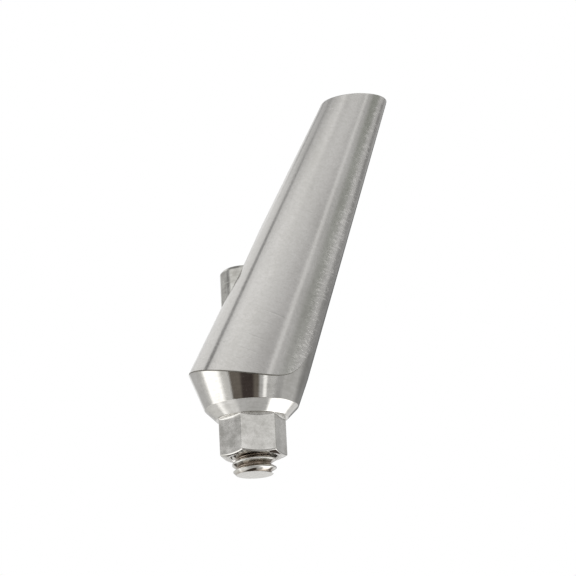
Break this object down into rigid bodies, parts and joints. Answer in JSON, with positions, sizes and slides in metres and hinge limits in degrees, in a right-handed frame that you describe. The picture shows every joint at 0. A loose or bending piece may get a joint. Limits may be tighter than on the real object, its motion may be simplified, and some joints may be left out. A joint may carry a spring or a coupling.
{
  "type": "angled dental abutment",
  "caption": "Angled metal abutment: implant hexagon, bevelled seat, polished collar and tilted tapered post, with a retaining screw in its channel.",
  "frame": {"origin": "on the implant's axis, at the shelf between the hexagon and the seat bevel", "axes": "+Z along the implant's axis, away from the implant; +X towards the side that the post leans to, over a flat of the hexagon"},
  "size_m": [0.009, 0.0046, 0.0151],
  "materials": {
    "milled_titanium": "satin milled post, mirror-polished collar and bevel",
    "turned_titanium": "turned, bright thread"
  },
  "bodies": {
    "abutment": {"abutment_body": "milled_titanium"},
    "screw": {"retaining_screw": "turned_titanium"}
  },
  "joints": [
    {"name": "screw_travel", "type": "slide", "parent": "abutment", "child": "screw", "axis": [0, 0, 1], "range_m": [-0.00228, 0.0108]}
  ]
}
